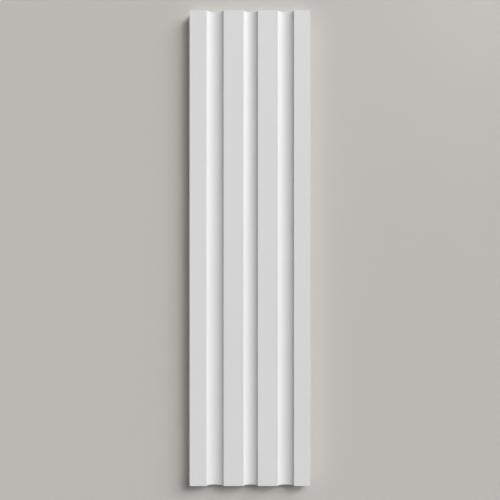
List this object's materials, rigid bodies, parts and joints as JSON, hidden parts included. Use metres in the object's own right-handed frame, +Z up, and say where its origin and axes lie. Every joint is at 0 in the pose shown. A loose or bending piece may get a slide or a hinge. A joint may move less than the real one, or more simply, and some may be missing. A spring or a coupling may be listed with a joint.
{
  "type": "pilaster",
  "caption": "Fluted pilaster shaft: a flat-backed white moulding with shallow flutes between flat fillets, cut square at its ends.",
  "frame": {"origin": "middle of the flat back, half way up the shaft and half way across it", "axes": "+Z up along the shaft, +Y into the wall that the back lies on, so the fluted face looks along -Y; +X to the right as the face is seen"},
  "size_m": [0.15, 0.015, 0.592],
  "materials": {
    "painted_moulding": "matte"
  },
  "bodies": {
    "root": {"pilaster_shaft": "painted_moulding"}
  },
  "joints": []
}
